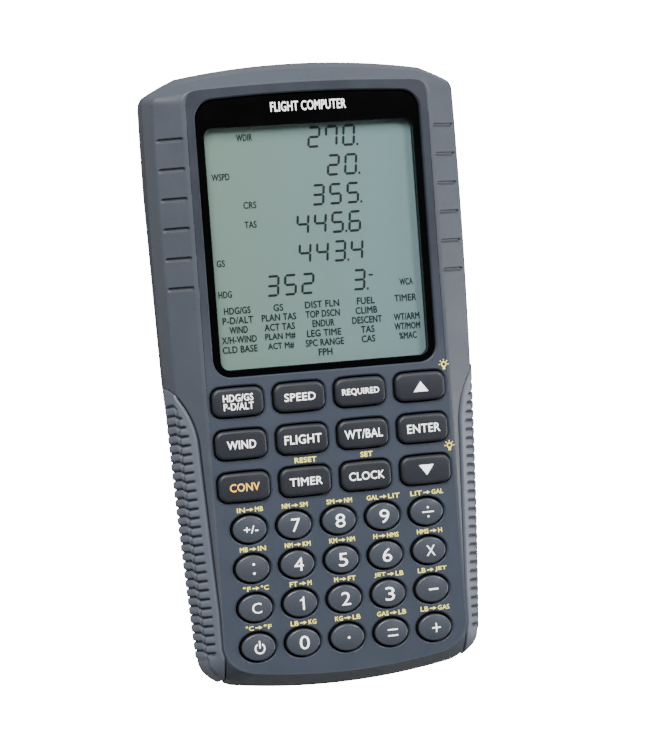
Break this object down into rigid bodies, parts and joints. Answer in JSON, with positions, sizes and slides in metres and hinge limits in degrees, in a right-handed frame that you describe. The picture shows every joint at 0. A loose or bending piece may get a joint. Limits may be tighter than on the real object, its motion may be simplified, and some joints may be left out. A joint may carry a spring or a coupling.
{
  "type": "electronic flight computer",
  "caption": "Handheld electronic flight computer with a tall display, wide function keys, oval number keys, ribbed rubber side grips and a sliding battery door.",
  "frame": {"origin": "middle of the flat back face, which the object rests on", "axes": "+X to the right of the keypad, +Y towards the display end, +Z out of the keypad"},
  "size_m": [0.092, 0.179, 0.0255],
  "materials": {
    "housing": "satin slate-grey moulded plastic",
    "grip_rubber": "ribbed grey rubber",
    "lens": "clear plastic with a black printed border",
    "adhesive": "black adhesive",
    "black_plastic": "black moulded plastic",
    "lcd_glass": "grey-green liquid crystal glass",
    "diffuser": "milky diffuser",
    "silicone_grey": "soft silicone",
    "circuit_board": "green solder mask",
    "capacitor_sleeve": "dark blue sleeve",
    "bright_metal": "nickel-plated",
    "screw_steel": "zinc-plated",
    "cell_case": "printed metal sleeve",
    "wide_key": "charcoal satin plastic",
    "oval_key": "semi-gloss slate plastic"
  },
  "bodies": {
    "casing": {"front_housing": "housing", "rear_housing": "housing", "left_grip": "grip_rubber", "right_grip": "grip_rubber", "display_lens": "lens", "lens_gasket": "adhesive", "display_frame": "black_plastic", "lcd_panel": "lcd_glass", "backlight_panel": "diffuser", "contact_strips": "silicone_grey", "main_board": "circuit_board", "processor_chip": "black_plastic", "clock_crystal": "bright_metal", "capacitors": "capacitor_sleeve", "board_screws": "bright_metal", "keypad_mat": "silicone_grey", "battery_springs": "bright_metal", "battery_contacts": "bright_metal", "housing_screws": "screw_steel", "battery_1": "cell_case", "battery_2": "cell_case", "battery_3": "cell_case"},
    "battery_door": {"battery_door": "housing"},
    "key_heading": {"key_heading": "wide_key"},
    "key_speed": {"key_speed": "wide_key"},
    "key_required": {"key_required": "wide_key"},
    "key_up": {"key_up": "wide_key"},
    "key_wind": {"key_wind": "wide_key"},
    "key_flight": {"key_flight": "wide_key"},
    "key_weight": {"key_weight": "wide_key"},
    "key_enter": {"key_enter": "wide_key"},
    "key_convert": {"key_convert": "wide_key"},
    "key_timer": {"key_timer": "wide_key"},
    "key_clock": {"key_clock": "wide_key"},
    "key_down": {"key_down": "wide_key"},
    "key_sign": {"key_sign": "oval_key"},
    "key_7": {"key_7": "oval_key"},
    "key_8": {"key_8": "oval_key"},
    "key_9": {"key_9": "oval_key"},
    "key_divide": {"key_divide": "oval_key"},
    "key_colon": {"key_colon": "oval_key"},
    "key_4": {"key_4": "oval_key"},
    "key_5": {"key_5": "oval_key"},
    "key_6": {"key_6": "oval_key"},
    "key_multiply": {"key_multiply": "oval_key"},
    "key_clear": {"key_clear": "oval_key"},
    "key_1": {"key_1": "oval_key"},
    "key_2": {"key_2": "oval_key"},
    "key_3": {"key_3": "oval_key"},
    "key_minus": {"key_minus": "oval_key"},
    "key_power": {"key_power": "oval_key"},
    "key_0": {"key_0": "oval_key"},
    "key_decimal": {"key_decimal": "oval_key"},
    "key_equals": {"key_equals": "oval_key"},
    "key_plus": {"key_plus": "oval_key"}
  },
  "joints": [
    {"name": "battery_door_slide", "type": "slide", "parent": "casing", "child": "battery_door", "axis": [0, -1, 0], "range_m": [0, 0.062]},
    {"name": "key_heading_press", "type": "slide", "parent": "casing", "child": "key_heading", "axis": [0, 0, -1], "range_m": [0, 0.001], "stiffness_N_per_m": 300, "springref_m": -0.001, "deforming": ["keypad_mat"]},
    {"name": "key_speed_press", "type": "slide", "parent": "casing", "child": "key_speed", "axis": [0, 0, -1], "range_m": [0, 0.001], "stiffness_N_per_m": 300, "springref_m": -0.001, "deforming": ["keypad_mat"]},
    {"name": "key_required_press", "type": "slide", "parent": "casing", "child": "key_required", "axis": [0, 0, -1], "range_m": [0, 0.001], "stiffness_N_per_m": 300, "springref_m": -0.001, "deforming": ["keypad_mat"]},
    {"name": "key_up_press", "type": "slide", "parent": "casing", "child": "key_up", "axis": [0, 0, -1], "range_m": [0, 0.001], "stiffness_N_per_m": 300, "springref_m": -0.001, "deforming": ["keypad_mat"]},
    {"name": "key_wind_press", "type": "slide", "parent": "casing", "child": "key_wind", "axis": [0, 0, -1], "range_m": [0, 0.001], "stiffness_N_per_m": 300, "springref_m": -0.001, "deforming": ["keypad_mat"]},
    {"name": "key_flight_press", "type": "slide", "parent": "casing", "child": "key_flight", "axis": [0, 0, -1], "range_m": [0, 0.001], "stiffness_N_per_m": 300, "springref_m": -0.001, "deforming": ["keypad_mat"]},
    {"name": "key_weight_press", "type": "slide", "parent": "casing", "child": "key_weight", "axis": [0, 0, -1], "range_m": [0, 0.001], "stiffness_N_per_m": 300, "springref_m": -0.001, "deforming": ["keypad_mat"]},
    {"name": "key_enter_press", "type": "slide", "parent": "casing", "child": "key_enter", "axis": [0, 0, -1], "range_m": [0, 0.001], "stiffness_N_per_m": 300, "springref_m": -0.001, "deforming": ["keypad_mat"]},
    {"name": "key_convert_press", "type": "slide", "parent": "casing", "child": "key_convert", "axis": [0, 0, -1], "range_m": [0, 0.001], "stiffness_N_per_m": 300, "springref_m": -0.001, "deforming": ["keypad_mat"]},
    {"name": "key_timer_press", "type": "slide", "parent": "casing", "child": "key_timer", "axis": [0, 0, -1], "range_m": [0, 0.001], "stiffness_N_per_m": 300, "springref_m": -0.001, "deforming": ["keypad_mat"]},
    {"name": "key_clock_press", "type": "slide", "parent": "casing", "child": "key_clock", "axis": [0, 0, -1], "range_m": [0, 0.001], "stiffness_N_per_m": 300, "springref_m": -0.001, "deforming": ["keypad_mat"]},
    {"name": "key_down_press", "type": "slide", "parent": "casing", "child": "key_down", "axis": [0, 0, -1], "range_m": [0, 0.001], "stiffness_N_per_m": 300, "springref_m": -0.001, "deforming": ["keypad_mat"]},
    {"name": "key_sign_press", "type": "slide", "parent": "casing", "child": "key_sign", "axis": [0, 0, -1], "range_m": [0, 0.001], "stiffness_N_per_m": 300, "springref_m": -0.001, "deforming": ["keypad_mat"]},
    {"name": "key_7_press", "type": "slide", "parent": "casing", "child": "key_7", "axis": [0, 0, -1], "range_m": [0, 0.001], "stiffness_N_per_m": 300, "springref_m": -0.001, "deforming": ["keypad_mat"]},
    {"name": "key_8_press", "type": "slide", "parent": "casing", "child": "key_8", "axis": [0, 0, -1], "range_m": [0, 0.001], "stiffness_N_per_m": 300, "springref_m": -0.001, "deforming": ["keypad_mat"]},
    {"name": "key_9_press", "type": "slide", "parent": "casing", "child": "key_9", "axis": [0, 0, -1], "range_m": [0, 0.001], "stiffness_N_per_m": 300, "springref_m": -0.001, "deforming": ["keypad_mat"]},
    {"name": "key_divide_press", "type": "slide", "parent": "casing", "child": "key_divide", "axis": [0, 0, -1], "range_m": [0, 0.001], "stiffness_N_per_m": 300, "springref_m": -0.001, "deforming": ["keypad_mat"]},
    {"name": "key_colon_press", "type": "slide", "parent": "casing", "child": "key_colon", "axis": [0, 0, -1], "range_m": [0, 0.001], "stiffness_N_per_m": 300, "springref_m": -0.001, "deforming": ["keypad_mat"]},
    {"name": "key_4_press", "type": "slide", "parent": "casing", "child": "key_4", "axis": [0, 0, -1], "range_m": [0, 0.001], "stiffness_N_per_m": 300, "springref_m": -0.001, "deforming": ["keypad_mat"]},
    {"name": "key_5_press", "type": "slide", "parent": "casing", "child": "key_5", "axis": [0, 0, -1], "range_m": [0, 0.001], "stiffness_N_per_m": 300, "springref_m": -0.001, "deforming": ["keypad_mat"]},
    {"name": "key_6_press", "type": "slide", "parent": "casing", "child": "key_6", "axis": [0, 0, -1], "range_m": [0, 0.001], "stiffness_N_per_m": 300, "springref_m": -0.001, "deforming": ["keypad_mat"]},
    {"name": "key_multiply_press", "type": "slide", "parent": "casing", "child": "key_multiply", "axis": [0, 0, -1], "range_m": [0, 0.001], "stiffness_N_per_m": 300, "springref_m": -0.001, "deforming": ["keypad_mat"]},
    {"name": "key_clear_press", "type": "slide", "parent": "casing", "child": "key_clear", "axis": [0, 0, -1], "range_m": [0, 0.001], "stiffness_N_per_m": 300, "springref_m": -0.001, "deforming": ["keypad_mat"]},
    {"name": "key_1_press", "type": "slide", "parent": "casing", "child": "key_1", "axis": [0, 0, -1], "range_m": [0, 0.001], "stiffness_N_per_m": 300, "springref_m": -0.001, "deforming": ["keypad_mat"]},
    {"name": "key_2_press", "type": "slide", "parent": "casing", "child": "key_2", "axis": [0, 0, -1], "range_m": [0, 0.001], "stiffness_N_per_m": 300, "springref_m": -0.001, "deforming": ["keypad_mat"]},
    {"name": "key_3_press", "type": "slide", "parent": "casing", "child": "key_3", "axis": [0, 0, -1], "range_m": [0, 0.001], "stiffness_N_per_m": 300, "springref_m": -0.001, "deforming": ["keypad_mat"]},
    {"name": "key_minus_press", "type": "slide", "parent": "casing", "child": "key_minus", "axis": [0, 0, -1], "range_m": [0, 0.001], "stiffness_N_per_m": 300, "springref_m": -0.001, "deforming": ["keypad_mat"]},
    {"name": "key_power_press", "type": "slide", "parent": "casing", "child": "key_power", "axis": [0, 0, -1], "range_m": [0, 0.001], "stiffness_N_per_m": 300, "springref_m": -0.001, "deforming": ["keypad_mat"]},
    {"name": "key_0_press", "type": "slide", "parent": "casing", "child": "key_0", "axis": [0, 0, -1], "range_m": [0, 0.001], "stiffness_N_per_m": 300, "springref_m": -0.001, "deforming": ["keypad_mat"]},
    {"name": "key_decimal_press", "type": "slide", "parent": "casing", "child": "key_decimal", "axis": [0, 0, -1], "range_m": [0, 0.001], "stiffness_N_per_m": 300, "springref_m": -0.001, "deforming": ["keypad_mat"]},
    {"name": "key_equals_press", "type": "slide", "parent": "casing", "child": "key_equals", "axis": [0, 0, -1], "range_m": [0, 0.001], "stiffness_N_per_m": 300, "springref_m": -0.001, "deforming": ["keypad_mat"]},
    {"name": "key_plus_press", "type": "slide", "parent": "casing", "child": "key_plus", "axis": [0, 0, -1], "range_m": [0, 0.001], "stiffness_N_per_m": 300, "springref_m": -0.001, "deforming": ["keypad_mat"]}
  ]
}
